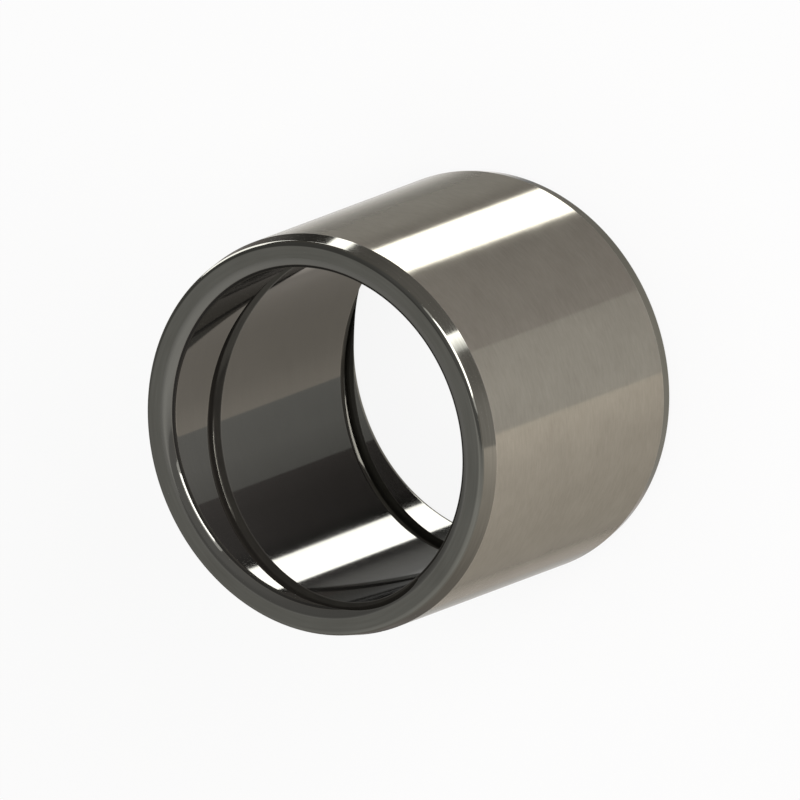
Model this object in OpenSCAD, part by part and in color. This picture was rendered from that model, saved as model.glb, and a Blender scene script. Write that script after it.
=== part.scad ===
// Steel pin bushing, standing on its lower end face.
// Its axis is Z, and the origin is the centre of the lower end face.
// One turned ring: tapered and rounded outside ends, rounded bore mouths,
// and one spiral grease groove that opens into both mouths.

/* [Ring] */
// Bore diameter, turning on its pin
bore_d = 80; // [50:0.5:120]
// Wall between the bore and the outside, which is pressed into its housing
wall = 7.5; // [5.5:0.1:12]
// Length between the two end faces
length = 78.6; // [60:0.2:110]

/* [Outside ends] */
// Height of the upper lead-in taper, from the end face to the full diameter
top_lead = 5; // [3.5:0.1:6]
// Height of the lower lead-in taper
bottom_lead = 4; // [3:0.1:6]
// Slope of both tapers away from the axis, in degrees
lead_angle = 11; // [8:0.5:13]
// Radius between each taper and its end face
edge_round = 1.25; // [0.6:0.05:1.6]

/* [Bore mouths] */
// Radius that opens each end of the bore into its end face
mouth_round = 2.7; // [1.5:0.1:3]

/* [Grease groove] */
// Rise of the groove in one turn
groove_pitch = 55.5; // [45:0.5:70]
// Depth of the groove below the bore wall
groove_depth = 2; // [1:0.1:2.5]
// Diameter of the round nose that cuts the groove
groove_nose_d = 6; // [5:0.5:8]
// Direction of the groove's middle where it leaves the lower end, in degrees
groove_start = 39; // [0:1:359]

/* [Smoothness] */
// Sides of a full circle in the preview
circle_sides = 120; // [48:8:240]
// Turn from one section of the groove to the next, in degrees
groove_step = 6; // [3:1:10]
// Facets round the nose
nose_facets = 9; // [5:1:13]

/* [Hidden] */
bore_r = bore_d / 2;
outer_r = bore_r + wall;
nose_r = groove_nose_d / 2;
// the nose's middle stands inside the bore by this radius from the axis
nose_path_r = bore_r + groove_depth - nose_r;
// half the angle that the nose spans between the groove's two edges
nose_edge_angle = acos((nose_r - groove_depth) / nose_r);
// the cutter runs this far past each end face
over_run = nose_r + 1;
cutter_turn = 360 * (length + 2 * over_run) / groove_pitch;
cutter_sections = ceil(cutter_turn / groove_step);

// radius at which a taper of this height would meet its end face in a sharp corner
function taper_foot_r(lead) = outer_r - lead * tan(lead_angle);

// along each of its two sides, how far the outer rounding reaches from that corner
function edge_round_reach() = edge_round / tan((90 + lead_angle) / 2);

// what the two roundings take off one end, with the end face on y = 0 and the wall above it
module end_relief(lead) {
    foot_r = taper_foot_r(lead);
    reach = edge_round_reach();
    round_centre = [foot_r - reach, edge_round];
    difference() {
        translate([bore_r, 0]) square(mouth_round);
        translate([bore_r + mouth_round, mouth_round]) circle(mouth_round, $fn = circle_sides);
    }
    difference() {
        polygon([
            [foot_r, 0],
            [foot_r + reach * sin(lead_angle), reach * cos(lead_angle)],
            round_centre,
            [foot_r - reach, 0],
        ]);
        translate(round_centre) circle(edge_round, $fn = circle_sides);
    }
}

// half section of the ring, x from the axis and y up from the lower end face
module wall_section() {
    difference() {
        polygon([
            [bore_r, 0],
            [taper_foot_r(bottom_lead), 0],
            [outer_r, bottom_lead],
            [outer_r, length - top_lead],
            [taper_foot_r(top_lead), length],
            [bore_r, length],
        ]);
        end_relief(bottom_lead);
        translate([0, length]) mirror([0, 1]) end_relief(top_lead);
    }
}

// angles round the nose in even facets; the groove's two edges fall in the middle of the outer two
function nose_angles() = [for (i = [0:nose_facets])
    nose_edge_angle * (2 * i - nose_facets) / (nose_facets - 1)];

// the nose's outline in the plane through the axis at this turn, as points in space
function nose_points(turn) =
    let (direction = groove_start + turn, height = groove_pitch * turn / 360)
    [for (a = nose_angles())
        let (r = nose_path_r + nose_r * cos(a))
        [r * cos(direction), r * sin(direction), height + nose_r * sin(a)]];

// the round nose carried along the spiral, from below the lower end to above the upper end
module groove_cutter() {
    first_turn = -360 * over_run / groove_pitch;
    sides = len(nose_angles());
    points = [for (s = [0:cutter_sections])
        each nose_points(first_turn + cutter_turn * s / cutter_sections)];
    walls = [for (s = [0:cutter_sections - 1], k = [0:sides - 1])
        let (
            here = s * sides + k,
            beside = s * sides + (k + 1) % sides,
            above = here + sides,
            above_beside = beside + sides
        )
        each [[here, beside, above], [beside, above_beside, above]]];
    first_cap = [for (k = [1:sides - 2]) [0, k + 1, k]];
    last = cutter_sections * sides;
    last_cap = [for (k = [1:sides - 2]) [last, last + k, last + k + 1]];
    polyhedron(points, concat(walls, first_cap, last_cap));
}

module bushing() {
    color("DimGray")
    difference() {
        rotate_extrude($fn = circle_sides) wall_section();
        groove_cutter();
    }
}

bushing();
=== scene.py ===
import math
import bpy
import numpy as np
from mathutils import Matrix, Vector


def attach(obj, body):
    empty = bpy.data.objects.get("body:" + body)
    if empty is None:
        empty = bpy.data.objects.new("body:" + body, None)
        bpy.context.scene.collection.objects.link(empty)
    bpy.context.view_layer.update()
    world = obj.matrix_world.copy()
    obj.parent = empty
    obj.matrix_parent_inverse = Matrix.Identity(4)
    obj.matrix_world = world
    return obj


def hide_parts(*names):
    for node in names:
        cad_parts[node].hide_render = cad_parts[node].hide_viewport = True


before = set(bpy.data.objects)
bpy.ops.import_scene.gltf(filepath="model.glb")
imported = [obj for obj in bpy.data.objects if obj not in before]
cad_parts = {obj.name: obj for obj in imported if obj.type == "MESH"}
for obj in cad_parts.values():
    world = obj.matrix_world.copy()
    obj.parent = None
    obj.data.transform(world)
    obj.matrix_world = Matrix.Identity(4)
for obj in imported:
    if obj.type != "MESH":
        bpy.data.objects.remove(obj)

# Steel pin bushing, standing on its lower end face; its axis is Z. Sizes below are in mm.
scene = bpy.context.scene
scene.view_settings.view_transform = "Standard"
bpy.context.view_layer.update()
mm = 0.001
print("frame loaded")

ring = {
    "boreRadius": 40.0,
    "outerRadius": 47.48,  # a hair inside the CAD's 47.5, whose box is faceted
    "length": 78.6,
    "upperLead": 5.0,
    "lowerLead": 4.0,
    "leadAngle": 11.0,  # of both tapers, from the axis
    "edgeRound": 1.25,
    "mouthRound": 2.7,
    "columns": 480,
    "edgeSteps": 10,
    "mouthSteps": 14,
    "wallSteps": 24,
    "noEdge": 50.0,  # distance that stands for no sharp edge near
    "pointSteps": 1e4,  # in one mm; points on the same step count as one
}
groove = {
    "pitch": 55.5,
    "depth": 2.0,
    "noseRadius": 3.0,
    "startAngle": 39.0,  # where its middle leaves the lower end
    "passes": 2,  # at most, over one line along the bore
    "steps": 20,
}
mouthArc = ring["mouthRound"] * math.pi / 2  # along the quarter circle of one mouth
boreRun = ring["length"] - 2 * ring["mouthRound"] + 2 * mouthArc  # along the bore's whole profile
nosePath = ring["boreRadius"] + groove["depth"] - groove["noseRadius"]  # from the axis to the nose's middle


def polar(r, z, angle):
    # x = r cos(angle), y = r sin(angle), z as given
    return np.stack([r * np.cos(angle), r * np.sin(angle), z + 0 * angle], axis=-1)


def turnedBand(profile, normals, clear, angles):
    # each profile point (r, z) swept round the axis, with its normal, its distance along the profile
    # and its distance from the nearest sharp edge
    r, z = profile[:, 0, None], profile[:, 1, None]
    nr, nz = normals[:, 0, None], normals[:, 1, None]
    turn = angles[None, :] + 0 * r
    lay = np.concatenate([[0], np.cumsum(np.hypot(*np.diff(profile, axis=0).T))])
    return polar(r, z, turn), polar(nr, nz, turn), lay[:, None] + 0 * turn, clear[:, None] + 0 * turn


def outsideBands(angles):
    # from the upper mouth's outer edge over the outside to the lower mouth's outer edge
    beta = math.radians(ring["leadAngle"])
    rho = ring["edgeRound"]
    bands, shoulders = [], []
    for end, lead in ((1, ring["upperLead"]), (-1, ring["lowerLead"])):
        face = ring["length"] if end > 0 else 0.0
        depth = rho * (1 - math.sin(beta))  # of the tangent point below the face
        tangentR = ring["outerRadius"] - (lead - depth) * math.tan(beta)
        centre = np.array([tangentR - rho * math.cos(beta), face - end * rho])
        tilt = np.linspace(math.pi / 2, beta, ring["edgeSteps"] + 1)
        arcNormals = np.stack([np.cos(tilt), end * np.sin(tilt)], axis=-1)
        arc = centre + rho * arcNormals
        mouth = np.array([ring["boreRadius"] + ring["mouthRound"], face])
        shoulder = np.array([ring["outerRadius"], face - end * lead])
        flat = np.array([[0.0, end]] * 2)
        slope = np.array([[math.cos(beta), end * math.sin(beta)]] * 2)
        smooth = np.full(len(arc), ring["noEdge"])
        taperClear = np.array([np.hypot(*(arc[-1] - shoulder)), 0.0])
        bands.append((np.stack([mouth, arc[0]]), flat, smooth[:2], "end"))
        bands.append((arc, arcNormals, smooth, "end"))
        bands.append((np.stack([arc[-1], shoulder]), slope, taperClear, "taper"))
        shoulders.append(shoulder)
    # the ground outside between the two shoulders, farthest from a sharp edge halfway up
    top, bottom = shoulders
    bands.append((np.stack([top, (top + bottom) / 2, bottom]), np.array([[1.0, 0.0]] * 3),
                  np.array([0.0, (top - bottom)[1] / 2, 0.0]), "outside"))
    return [(turnedBand(p, n, clear, angles), zone) for p, n, clear, zone in bands]


def boreProfile(s):
    # s runs up the bore's wall from the lower end face: quarter circle, plain wall, quarter circle
    m = ring["mouthRound"]
    upper = s > boreRun / 2
    fromFace = np.where(upper, boreRun - s, s)
    a = np.minimum(fromFace, mouthArc) / m
    r = ring["boreRadius"] + m * (1 - np.sin(a))
    z = m * (1 - np.cos(a)) + np.maximum(fromFace - mouthArc, 0)
    nr, nz = -np.sin(a), -np.cos(a)
    return r, np.where(upper, ring["length"] - z, z), nr, np.where(upper, -nz, nz)


def grooveEdges(middle):
    # where the nose, with its middle at this height, meets the bore's profile, as two values of s
    m, length, nose = ring["mouthRound"], ring["length"], groove["noseRadius"]
    half = math.sqrt(nose ** 2 - (ring["boreRadius"] - nosePath) ** 2)

    def onMouth(height, side):
        # the two circles' meeting point, as an angle round the mouth's own circle
        across, up = ring["boreRadius"] + m - nosePath, m - height
        gap = np.hypot(across, up)
        swing = np.arccos(np.clip((m ** 2 + gap ** 2 - nose ** 2) / (2 * m * gap), -1, 1))
        apart = gap >= nose + m
        touch = math.asin(across / (nose + m))
        return m * np.where(apart, touch, np.arctan2(across, up) + side * swing)

    def edge(height, side):
        # the plain wall's answer, or a mouth's where the meeting point is on that mouth
        z = height + side * half
        low = onMouth(height, side)
        high = boreRun - onMouth(length - height, -side)
        return np.where(z < m, low, np.where(z > length - m, high, mouthArc + z - m))

    return edge(middle, -1), edge(middle, 1)


def wallStrip(rows, low, high, lowCut, highCut, angles):
    # the fixed rows of the bore's profile, held between two edges that change with the angle;
    # an edge is sharp only where the groove is cut there
    s = np.clip(rows[:, None], low[None, :], high[None, :])
    r, z, nr, nz = boreProfile(s)
    turn = angles[None, :] + 0 * s
    clear = np.minimum(np.where(lowCut, s - low, ring["noEdge"]),
                       np.where(highCut, high - s, ring["noEdge"]))
    return polar(r, z, turn), polar(nr, nz, turn), s, clear


def grooveStrip(middle, low, high, angles):
    # an arc of the nose between the groove's two edges, climbing with the angle
    (lowR, lowZ, _, _), (highR, highZ, _, _) = boreProfile(low), boreProfile(high)
    first = np.arctan2(lowZ - middle, lowR - nosePath)
    last = np.arctan2(highZ - middle, highR - nosePath)
    across = np.linspace(0, 1, groove["steps"] + 1)[:, None]
    swing = first * (1 - across) + last * across
    cut = high > low  # elsewhere the nose is clear of the wall and the arc is one point on it
    r = np.where(cut, nosePath + groove["noseRadius"] * np.cos(swing), lowR)
    z = np.where(cut, middle + groove["noseRadius"] * np.sin(swing), lowZ)
    turn = angles[None, :] + 0 * swing
    # the normal points at the nose's middle, leant over by the climb
    rise = groove["pitch"] / (2 * math.pi)
    nr, nt, nz = -np.cos(swing), rise * np.sin(swing) / r, -np.sin(swing)
    cos, sin = np.cos(turn), np.sin(turn)
    n = np.stack([nr * cos - nt * sin, nr * sin + nt * cos, nz], axis=-1)
    clear = groove["noseRadius"] * np.minimum(swing - first, last - swing)
    lay = groove["noseRadius"] * (swing - first)
    return polar(r, z, turn), n / np.linalg.norm(n, axis=-1, keepdims=True), lay, clear


def boreBands(angles):
    # the plain wall in strips between the groove's turns, and the groove itself; one row of the mouths
    # is where the nose first touches them
    m = ring["mouthRound"]
    touch = m * math.asin((ring["boreRadius"] + m - nosePath) / (groove["noseRadius"] + m))
    mouthRows = np.union1d(np.linspace(0, mouthArc, ring["mouthSteps"] + 1), [touch])
    wallRows = np.linspace(mouthArc, boreRun - mouthArc, ring["wallSteps"] + 1)[1:-1]
    rows = np.concatenate([mouthRows, wallRows, boreRun - mouthRows[::-1]])
    turned = (np.degrees(angles) - groove["startAngle"]) / 360
    uncut = np.zeros(len(angles), bool)
    bands, below, belowCut = [], np.zeros_like(angles), uncut
    for lap in range(groove["passes"]):
        middle = groove["pitch"] * (turned + lap)
        low, high = grooveEdges(middle)
        cut = high > low
        bands.append((wallStrip(rows, below, low, belowCut, cut, angles), "bore"))
        bands.append((grooveStrip(middle, low, high, angles), "groove"))
        below, belowCut = high, cut
    bands.append((wallStrip(rows, below, boreRun + 0 * angles, belowCut, uncut, angles), "bore"))
    return bands


def gridTriangles(rows, columns):
    # two triangles for each cell of a grid of points, as index triples
    i, j = np.meshgrid(np.arange(rows - 1), np.arange(columns - 1), indexing="ij")
    a = (i * columns + j).ravel()
    b, c, d = a + 1, a + columns + 1, a + columns
    return np.concatenate([np.stack([a, b, c], -1), np.stack([a, c, d], -1)])


def joinedGrids(bands, which, width):
    # one of the four grids of every band, row after row in one list
    return np.concatenate([grids[which].reshape(-1, width) for grids, _ in bands])


def buildPiece(name, bands, materials):
    # bands share their edges' points, so equal points are merged and the empty triangles dropped
    triangles, zones, start = [], [], 0
    for (p, _, _, _), zone in bands:
        cells = gridTriangles(*p.shape[:2]) + start
        triangles.append(cells)
        zones.append(np.full(len(cells), list(materials).index(zone)))
        start += p.shape[0] * p.shape[1]
    triangles, zones = np.concatenate(triangles), np.concatenate(zones)
    points, normals = joinedGrids(bands, 0, 3), joinedGrids(bands, 1, 3)
    _, first, merged = np.unique(
        np.round(points * ring["pointSteps"]), axis=0, return_index=True, return_inverse=True)
    shared = merged.reshape(-1)[triangles]
    whole = ((shared[:, 0] != shared[:, 1]) & (shared[:, 1] != shared[:, 2])
             & (shared[:, 2] != shared[:, 0]))
    triangles, shared, zones = triangles[whole], shared[whole], zones[whole]
    # triangles that face against their normals are turned over
    corners = points[triangles]
    facing = np.cross(corners[:, 1] - corners[:, 0], corners[:, 2] - corners[:, 0])
    inward = (facing * normals[triangles].sum(axis=1)).sum(axis=-1) < 0
    triangles[inward] = triangles[inward][:, ::-1]
    shared[inward] = shared[inward][:, ::-1]
    used, shared = np.unique(shared, return_inverse=True)
    shared = shared.reshape(-1, 3)
    mesh = bpy.data.meshes.new(name)
    mesh.from_pydata((points[first[used]] * mm).tolist(), [], shared.tolist())
    for material in materials.values():
        mesh.materials.append(material)
    mesh.polygons.foreach_set("material_index", zones.astype(np.int32))
    mesh.shade_smooth()
    mesh.normals_split_custom_set(normals[triangles].reshape(-1, 3).tolist())
    for attribute, which in (("lay", 2), ("clear", 3)):
        values = joinedGrids(bands, which, 1)[triangles]
        mesh.attributes.new(attribute, "FLOAT", "CORNER").data.foreach_set(
            "value", values.astype(np.float32).ravel())
    mesh.update()
    piece = bpy.data.objects.new(name, mesh)
    scene.collection.objects.link(piece)
    print(name, len(shared), "triangles")
    return piece


def hexToLinear(code):
    # sRGB hex to linear red, green and blue, with alpha 1
    values = [int(code[i:i + 2], 16) / 255 for i in (1, 3, 5)]
    return [v / 12.92 if v <= 0.04045 else ((v + 0.055) / 1.055) ** 2.4 for v in values] + [1.0]


def addNode(tree, kind, settings=None, links=None):
    # settings name the node's properties or its input sockets; links go from other nodes' outputs
    node = tree.nodes.new(kind)
    for key, value in (settings or {}).items():
        if isinstance(key, str) and hasattr(node, key):
            setattr(node, key, value)
        else:
            node.inputs[key].default_value = value
    for key, output in (links or {}).items():
        tree.links.new(output, node.inputs[key])
    return node


def newMaterial(name):
    material = bpy.data.materials.new(name)
    material.use_nodes = True
    material.node_tree.nodes.clear()
    # what glows is found by the reflected rays themselves, so the lamps keep all the light samples
    material.cycles.emission_sampling = "NONE"
    return material, material.node_tree


# Each finish of the one hardened steel ring. Lengths are in mm: grain is the spacing of its tool marks,
# streak how long one mark runs round the ring, mark how deep it is, and cloud the size of the broad
# uneven patches. Rough has the roughness of the dark and of the light patches, tint is what the metal
# keeps of its mirror at grazing angles, and gloss is the specular level of the matte share.
finishes = {
    # outside: ground between centres, so a satin sheen over the mirror, with fine marks round the ring
    "outside": {
        "name": "groundHardenedSteel", "dark": "#a39f92", "light": "#b0ac9e", "worn": "#bcb8ab",
        "metallic": 0.67, "rough": (0.07, 0.095), "tint": 0.6, "gloss": 0.0,
        "grain": 0.6, "streak": 3.0, "mark": 0.0003, "cloud": 9.0, "wornWidth": 0.3},
    # end faces, tapers and roundings: turned, then lightly polished, so darker and with faint rings
    "end": {
        "name": "turnedHardenedSteel", "dark": "#797871", "light": "#85847d", "worn": "#a09e96",
        "metallic": 1.0, "rough": (0.07, 0.1), "tint": 0.65, "gloss": 0.5,
        "grain": 0.7, "streak": 12.0, "mark": 0.0004, "cloud": 12.0, "wornWidth": 0.3},
    # bore: honed to run on its pin, so nearly a mirror, with hardly any marks
    "bore": {
        "name": "honedHardenedSteel", "dark": "#7c7b75", "light": "#81807a", "worn": "#9c9a92",
        "metallic": 0.88, "rough": (0.055, 0.07), "tint": 0.65, "gloss": 0.5,
        "grain": 0.8, "streak": 8.0, "mark": 0.0001, "cloud": 16.0, "wornWidth": 0.35},
    # groove: its dark colours are painted shade, darker than the bore's, standing in for the shade down
    # inside the groove
    "groove": {
        "name": "grooveSteelPaintedShade", "dark": "#3d3b36", "light": "#494740", "worn": "#8f8d86",
        "metallic": 0.6, "rough": (0.08, 0.12), "tint": 0.65, "gloss": 0.5,
        "grain": 0.7, "streak": 5.0, "mark": 0.0006, "cloud": 6.0, "wornWidth": 0.25},
}
pattern = {
    "cloudShare": 0.6,  # weight of the clouds in the tone, where the tool marks weigh 1
    "toneFrom": 0.5,  # tone that has the dark colour and the lower roughness
    "toneTo": 1.1,  # tone that has the light colour and the higher roughness
    "wornShare": 0.45,  # of the burnished colour, right on a sharp edge
    "wornReach": (0.5, 1.5),  # of the worn width, where burnishing is full and where it has ended
}


def steelMaterial(finish):
    material, tree = newMaterial(finish["name"])
    place = addNode(tree, "ShaderNodeTexCoord")
    lay = addNode(tree, "ShaderNodeAttribute", {"attribute_name": "lay"})
    clear = addNode(tree, "ShaderNodeAttribute", {"attribute_name": "clear"})
    # tool marks: noise that is long round the ring and short across its profile. Real grinding marks
    # are under 0.1 mm apart, so they are drawn as coarse as they need to show.
    along = addNode(tree, "ShaderNodeVectorMath", {
        "operation": "SCALE", "Scale": 1 / (finish["streak"] * mm)}, {0: place.outputs["Object"]})
    split = addNode(tree, "ShaderNodeSeparateXYZ", None, {0: along.outputs[0]})
    across = addNode(tree, "ShaderNodeMath", {"operation": "DIVIDE", 1: finish["grain"]}, {
        0: lay.outputs["Fac"]})
    marks = addNode(tree, "ShaderNodeCombineXYZ", None, {
        0: split.outputs[0], 1: split.outputs[1], 2: across.outputs[0]})
    grain = addNode(tree, "ShaderNodeTexNoise", {"Scale": 1.0, "Detail": 3.0, "Roughness": 0.6}, {
        "Vector": marks.outputs[0]})
    cloud = addNode(tree, "ShaderNodeTexNoise", {
        "Scale": 1 / (finish["cloud"] * mm), "Detail": 2.0, "Roughness": 0.5}, {
        "Vector": place.outputs["Object"]})
    tone = addNode(tree, "ShaderNodeMath", {"operation": "MULTIPLY_ADD", 1: pattern["cloudShare"]}, {
        0: cloud.outputs["Fac"], 2: grain.outputs["Fac"]})
    share = addNode(tree, "ShaderNodeMapRange", {
        "From Min": pattern["toneFrom"], "From Max": pattern["toneTo"]}, {"Value": tone.outputs[0]})
    colour = addNode(tree, "ShaderNodeMix", {
        "data_type": "RGBA", 6: hexToLinear(finish["dark"]), 7: hexToLinear(finish["light"])}, {
        0: share.outputs[0]})
    # wear: sharp edges are burnished brighter, in a line that the tool marks break up
    ragged = addNode(tree, "ShaderNodeMath", {"operation": "MULTIPLY_ADD", 1: finish["wornWidth"]}, {
        0: grain.outputs["Fac"], 2: clear.outputs["Fac"]})
    wornFrom, wornTo = (finish["wornWidth"] * reach for reach in pattern["wornReach"])
    worn = addNode(tree, "ShaderNodeMapRange", {
        "From Min": wornFrom, "From Max": wornTo, "To Min": pattern["wornShare"], "To Max": 0.0}, {
        "Value": ragged.outputs[0]})
    burnished = addNode(tree, "ShaderNodeMix", {
        "data_type": "RGBA", 7: hexToLinear(finish["worn"])}, {
        0: worn.outputs[0], 6: colour.outputs[2]})
    rough = addNode(tree, "ShaderNodeMapRange", {
        "To Min": finish["rough"][0], "To Max": finish["rough"][1]}, {"Value": share.outputs[0]})
    bump = addNode(tree, "ShaderNodeBump", {"Strength": 1.0, "Distance": finish["mark"] * mm}, {
        "Height": grain.outputs["Fac"]})
    shader = addNode(tree, "ShaderNodeBsdfPrincipled", {
        "Metallic": finish["metallic"], "Specular IOR Level": finish["gloss"],
        "Specular Tint": [finish["tint"]] * 3 + [1.0]}, {
        "Base Color": burnished.outputs[2], "Roughness": rough.outputs[0], "Normal": bump.outputs[0]})
    addNode(tree, "ShaderNodeOutputMaterial", None, {"Surface": shader.outputs["BSDF"]})
    return material


roundAxis = np.linspace(0, 2 * math.pi, ring["columns"] + 1)
steels = {zone: steelMaterial(finish) for zone, finish in finishes.items()}
steels["taper"] = steels["end"]
body = buildPiece("bushingBody", outsideBands(roundAxis) + boreBands(roundAxis), steels)
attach(body, "root")
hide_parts("bushing")

# The studio, as directions round the bushing in degrees: azimuth from +X towards +Y, elevation above the
# floor. Its distances and sizes are in metres. Reflections see the walls and panels, which are patches
# of far spheres. The lamps, with a low fill from the world, light the matte share of the steel and the
# floor.
studio = {
    "wallDistance": 3.0,
    "wallStep": 4.0,  # between a wall's columns
    "wallRows": 9,
    "panelSteps": 13,
    "deepLevel": 0.45,  # what a card gives to a reflection of a reflection
    "fillLevel": 0.04,  # of the world, for matte surfaces
    "floorRadius": 2.5,
    "floorSides": 64,
    "floorGlow": 0.9,  # of the floor's own white as the camera sees it; the rest shows its shadow
    "walls": {
        # elevation from and to, colour, then azimuth and light level from stop to stop
        "underWall": ((-88, -62), "#fffaf2", [
            (56, 0.6), (130, 0.76), (170, 0.8), (250, 0.76), (290, 0.66), (330, 0.6), (416, 0.6)]),
        "lowBack": ((-62, -52), "#fffdfa", [
            (56, 0.82), (64, 1.18), (74, 1.36), (84, 1.0), (96, 0.95), (108, 0.87), (116, 0.87)]),
        "lowLeft": ((-62, -52), "#fff6ee", [
            (116, 0.87), (121, 0.93), (130, 0.85), (134, 0.73), (138, 0.57), (145, 0.63), (157, 0.57),
            (168, 0.54), (180, 0.51), (204, 0.51), (216, 0.53), (228, 0.605), (236.6, 0.66)]),
        "lowFront": ((-62, -46), "#ffffff", [
            (236.6, 0.39), (252, 0.365), (262, 0.355), (272, 0.31), (284.4, 0.26)]),
        "lowRight": ((-62, -46), "#fff4f5", [
            (284.4, 0.10), (300, 0.065), (326, 0.045), (335, 0.0), (350, 0.0), (366, 0.03)]),
        "lowFar": ((-62, -46), "#ffffff", [
            (366, 0.05), (374, 0.10), (378, 0.22), (384, 0.34), (396, 0.42), (404, 0.41), (408, 0.50),
            (416, 0.76)]),
        "middleLeft": ((-52, -27), "#fff6ee", [
            (50, 0.28), (62, 0.31), (82, 0.36), (108, 0.2), (121, 0.38), (135, 0.38), (148, 0.46),
            (162, 0.48), (175, 0.53), (189, 0.62), (202, 0.72), (216, 0.85), (232, 1.1), (236.6, 1.17)]),
        "middleRight": ((-46, -27), "#fffaf6", [
            (236.6, 0.6), (250, 0.60), (257, 0.57), (268, 0.42), (280, 0.39), (308, 0.38), (333, 0.33),
            (356, 0.25), (376, 0.14), (384, 0.10), (392, 0.14), (403, 0.24), (410, 0.28)]),
        "eyeLeft": ((-27, 8), "#fffcf8", [
            (62, 0.3), (90, 0.35), (110, 0.42), (210, 0.66), (239.9, 0.64)]),
        "eyeRight": ((-27, 8), "#fffaf4", [
            (240, 0.5), (262, 0.45), (280, 0.33), (330, 0.31), (350, 0.25), (385, 0.16), (422, 0.2)]),
        "highWall": ((8, 89), "#ffffff", [
            (-120, 0.24), (-60, 0.25), (-30, 0.24), (0, 0.17), (60, 0.15), (76, 0.25), (84, 0.42),
            (95, 0.43), (135, 0.58), (165, 0.67), (205, 0.72), (225, 0.6), (236, 0.45), (240, 0.24)]),
    },
    "panels": {
        # distance, then azimuth, elevation and light level of the lower left, lower right, upper right
        # and upper left corner
        "softboxFront": (2.8, ((264, -12, 8), (300.5, -12, 8), (303, 14, 8), (262, 19, 8))),
        "softboxLower": (2.8, ((288.5, -34, 0.4), (293, -34, 7), (300.5, -12, 8), (264, -12, 8))),
        "softboxRim": (2.9, ((254, -13, 1.2), (308, -13, 1.2), (310, 26, 1.2), (257, 26, 1.2))),
        "stripLight": (2.8, ((330.5, -62, 6), (363.8, -62, 6), (377, -30, 6), (371.9, -30, 6))),
        "backCard": (2.8, ((25, -36, 5), (58, -42, 5), (50, 2, 5), (28, 2, 5))),
    },
    "lamps": {
        # azimuth, elevation, distance, side of the square, power in watts and colour
        "keyLamp": (272, 25, 1.6, 1.2, 23.3, "#fff8fd"),  # for a brownish tone of the matte share
        "topLamp": (90, 88, 1.8, 1.6, 20, "#ffffff"),
    },
}
ringMiddle = Vector((0.0, 0.0, ring["length"] * mm / 2))


def cardLight(name, colour):
    # a card shows its level in a first reflection, and an even grey in a reflection of a reflection
    material, tree = newMaterial(name)
    level = addNode(tree, "ShaderNodeAttribute", {"attribute_name": "level"})
    path = addNode(tree, "ShaderNodeLightPath")
    deep = addNode(tree, "ShaderNodeMath", {"operation": "GREATER_THAN", 1: 1.5}, {
        0: path.outputs["Ray Depth"]})
    strength = addNode(tree, "ShaderNodeMix", {3: studio["deepLevel"]}, {
        0: deep.outputs[0], 2: level.outputs["Fac"]})
    glow = addNode(tree, "ShaderNodeEmission", {"Color": hexToLinear(colour)}, {
        "Strength": strength.outputs[0]})
    addNode(tree, "ShaderNodeOutputMaterial", None, {"Surface": glow.outputs["Emission"]})
    return material


def stageCard(name, azimuth, elevation, level, distance, colour):
    # azimuth, elevation and level are grids in degrees and light level; the card is their patch of sphere:
    # x = cos(elevation) cos(azimuth), y = cos(elevation) sin(azimuth), z = sin(elevation), times distance
    u, v = np.radians(azimuth), np.radians(elevation)
    p = distance * np.stack([np.cos(v) * np.cos(u), np.cos(v) * np.sin(u), np.sin(v)], axis=-1)
    p = p + np.array(ringMiddle)
    mesh = bpy.data.meshes.new(name)
    mesh.from_pydata(p.reshape(-1, 3).tolist(), [], gridTriangles(*u.shape).tolist())
    mesh.attributes.new("level", "FLOAT", "POINT").data.foreach_set(
        "value", np.asarray(level, np.float32).ravel())
    mesh.materials.append(cardLight(name, colour))
    card = bpy.data.objects.new(name, mesh)
    scene.collection.objects.link(card)
    card.visible_camera = card.visible_diffuse = card.visible_shadow = False


def stageWall(name, elevation, colour, stops):
    # a band between two elevations, its level straight from stop to stop and the same all the way up
    at, levels = np.array(stops).T
    columns = np.union1d(np.arange(at[0], at[-1], studio["wallStep"]), at)
    azimuth, rise = np.meshgrid(columns, np.linspace(*elevation, studio["wallRows"]))
    level = np.interp(azimuth, at, levels)
    stageCard(name, azimuth, rise, level, studio["wallDistance"], colour)


def stagePanel(name, distance, corners):
    # a four-cornered card, its directions and level straight from corner to corner
    c = np.array(corners, float)
    steps = np.linspace(0, 1, studio["panelSteps"])
    u, v = (grid[..., None] for grid in np.meshgrid(steps, steps))
    at = (c[0] * (1 - u) + c[1] * u) * (1 - v) + (c[3] * (1 - u) + c[2] * u) * v
    stageCard(name, at[..., 0], at[..., 1], at[..., 2], distance, "#ffffff")


def stageLamp(name, azimuth, elevation, distance, size, power, colour):
    # a soft square lamp that faces the bushing, for the light on the floor and the shading
    lamp = bpy.data.lights.new(name, "AREA")
    lamp.shape, lamp.size, lamp.energy = "SQUARE", size, power
    lamp.color = hexToLinear(colour)[:3]
    a, e = math.radians(azimuth), math.radians(elevation)
    away = Vector((math.cos(e) * math.cos(a), math.cos(e) * math.sin(a), math.sin(e)))
    holder = bpy.data.objects.new(name, lamp)
    scene.collection.objects.link(holder)
    holder.location = away * distance + ringMiddle
    holder.rotation_euler = away.to_track_quat("Z", "Y").to_euler()
    holder.visible_camera = holder.visible_glossy = False


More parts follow.
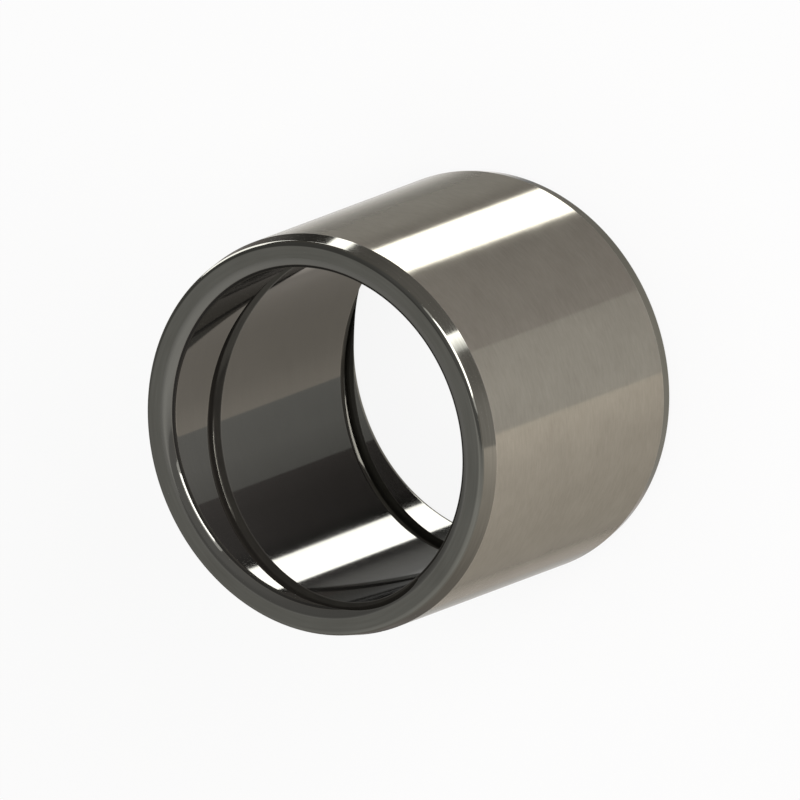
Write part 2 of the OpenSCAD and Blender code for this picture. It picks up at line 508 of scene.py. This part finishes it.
def floorMaterial():
    # matte white that the camera sees mostly by its own glow, and reflections don't see at all
    material, tree = newMaterial("paleFloor")
    matte = addNode(tree, "ShaderNodeBsdfDiffuse", {"Color": hexToLinear("#f4f4f2")})
    glow = addNode(tree, "ShaderNodeEmission", {"Color": hexToLinear("#ffffff"), "Strength": 1.0})
    path = addNode(tree, "ShaderNodeLightPath")
    glowing = addNode(tree, "ShaderNodeMath", {"operation": "MULTIPLY", 1: studio["floorGlow"]}, {
        0: path.outputs["Is Camera Ray"]})
    mixed = addNode(tree, "ShaderNodeMixShader", None, {
        0: glowing.outputs[0], 1: matte.outputs[0], 2: glow.outputs[0]})
    addNode(tree, "ShaderNodeOutputMaterial", None, {"Surface": mixed.outputs[0]})
    return material


def stageFloor():
    # a round floor under the lower end face: x = radius cos(turn), y = radius sin(turn)
    turn = np.linspace(0, 2 * math.pi, studio["floorSides"], endpoint=False)
    rim = studio["floorRadius"] * np.stack([np.cos(turn), np.sin(turn), 0 * turn], -1)
    mesh = bpy.data.meshes.new("floor")
    mesh.from_pydata(rim.tolist(), [], [list(range(len(rim)))])
    mesh.materials.append(floorMaterial())
    floor = bpy.data.objects.new("floor", mesh)
    scene.collection.objects.link(floor)
    floor.visible_glossy = False


def setWorld():
    # white to the camera and in clear or mirrored views, and a low fill for matte surfaces
    world = bpy.data.worlds.new("studioWorld")
    scene.world = world
    world.use_nodes = True
    tree = world.node_tree
    tree.nodes.clear()
    path = addNode(tree, "ShaderNodeLightPath")
    mirrored = addNode(tree, "ShaderNodeMath", {"operation": "MAXIMUM"}, {
        0: path.outputs["Is Glossy Ray"], 1: path.outputs["Is Transmission Ray"]})
    seen = addNode(tree, "ShaderNodeMath", {"operation": "MAXIMUM"}, {
        0: path.outputs["Is Camera Ray"], 1: mirrored.outputs[0]})
    level = addNode(tree, "ShaderNodeMapRange", {"To Min": studio["fillLevel"], "To Max": 1.0}, {
        "Value": seen.outputs[0]})
    sky = addNode(tree, "ShaderNodeBackground", {"Color": hexToLinear("#ffffff")}, {
        "Strength": level.outputs[0]})
    addNode(tree, "ShaderNodeOutputWorld", None, {"Surface": sky.outputs[0]})


for wall, (elevation, colour, stops) in studio["walls"].items():
    stageWall(wall, elevation, colour, stops)
for panel, (distance, corners) in studio["panels"].items():
    stagePanel(panel, distance, corners)
for lamp, setting in studio["lamps"].items():
    stageLamp(lamp, *setting)
stageFloor()
setWorld()
print("studio ready")

# orthographic camera at the photo's viewing angle
view = {
    "tilt": 36.3,  # between the bushing's axis and the line of sight
    "roll": 20.51,  # of the axis on the image
    "frame": 800,  # pixels along each side
    "scale": 0.23109,  # mm in one pixel
    "faceCentre": (313.86, 438.77),  # of the upper end face, in pixels from the upper left
    "distance": 1.0,  # in metres
}


def aimCamera():
    # On the image, alongAxis runs from the upper end to the lower one, to the right and up. The frame's
    # middle is as many pixels from the upper end face's middle as on the photo.
    tilt, roll = math.radians(view["tilt"]), math.radians(view["roll"])
    toCamera = Vector((0, -math.sin(tilt), math.cos(tilt)))
    alongAxis = Vector((0, -math.cos(tilt), -math.sin(tilt)))
    side = Vector((-1, 0, 0))
    right = math.cos(roll) * alongAxis + math.sin(roll) * side
    up = math.sin(roll) * alongAxis - math.cos(roll) * side
    pixel = view["scale"] * mm
    across, down = (view["frame"] / 2 - at for at in view["faceCentre"])
    faceMiddle = Vector((0.0, 0.0, ring["length"] * mm))
    lens = bpy.data.cameras.new("camera")
    lens.type = "ORTHO"
    lens.ortho_scale = view["frame"] * pixel
    camera = bpy.data.objects.new("camera", lens)
    scene.collection.objects.link(camera)
    camera.matrix_world = Matrix((
        (right.x, up.x, toCamera.x, 0), (right.y, up.y, toCamera.y, 0),
        (right.z, up.z, toCamera.z, 0), (0, 0, 0, 1)))
    camera.location = faceMiddle + across * pixel * right - down * pixel * up + toCamera * view["distance"]
    scene.camera = camera


aimCamera()
print("camera ready")
